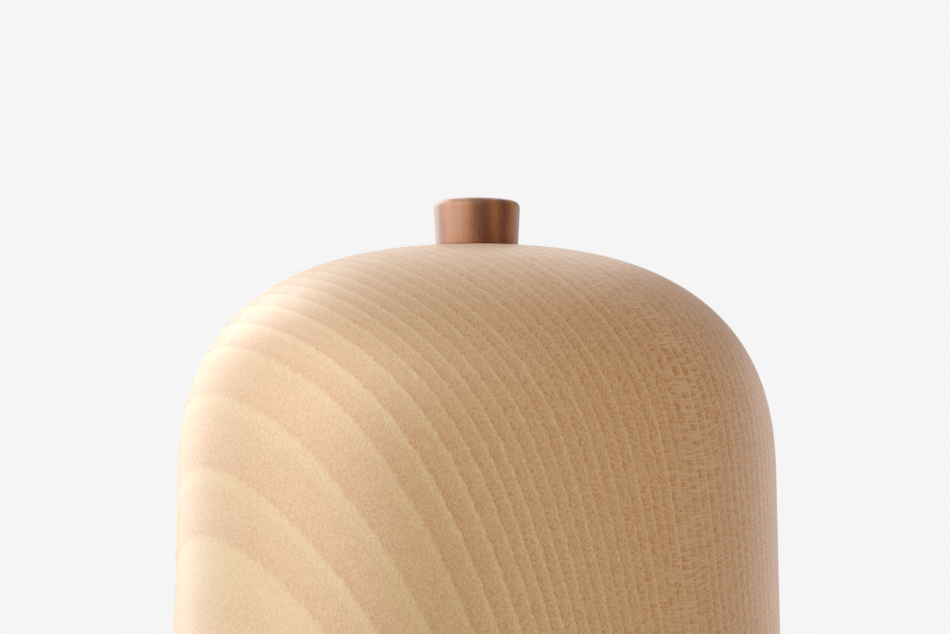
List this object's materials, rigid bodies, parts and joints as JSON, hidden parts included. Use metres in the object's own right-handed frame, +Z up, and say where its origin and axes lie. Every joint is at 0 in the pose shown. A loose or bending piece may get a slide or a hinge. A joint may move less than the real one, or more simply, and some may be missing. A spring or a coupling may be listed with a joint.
{
  "type": "kokeshi doll",
  "caption": "Turned wooden kokeshi doll: a domed head with a dark topknot peg turns on a waisted trunk with ringed grooves.",
  "frame": {"origin": "centre of the foot, on the surface that the doll stands on", "axes": "+Z up along the lathe axis, the face looks along -Y, +X is on the viewer's right when facing the face"},
  "size_m": [0.06, 0.06, 0.1516],
  "materials": {
    "head_maple": "turned maple, sanded, thin clear wax",
    "trunk_maple": "turned maple, sanded, thin clear wax",
    "walnut": "turned dark wood, satin"
  },
  "bodies": {
    "trunk": {"trunk": "trunk_maple"},
    "head": {"head": "head_maple", "topknot": "walnut", "neck_pin": "walnut"}
  },
  "joints": [
    {"name": "head_turn", "type": "hinge", "parent": "trunk", "child": "head", "pos_m": [0, 0, 0.0895], "axis": [0, 0, 1], "continuous": true}
  ]
}
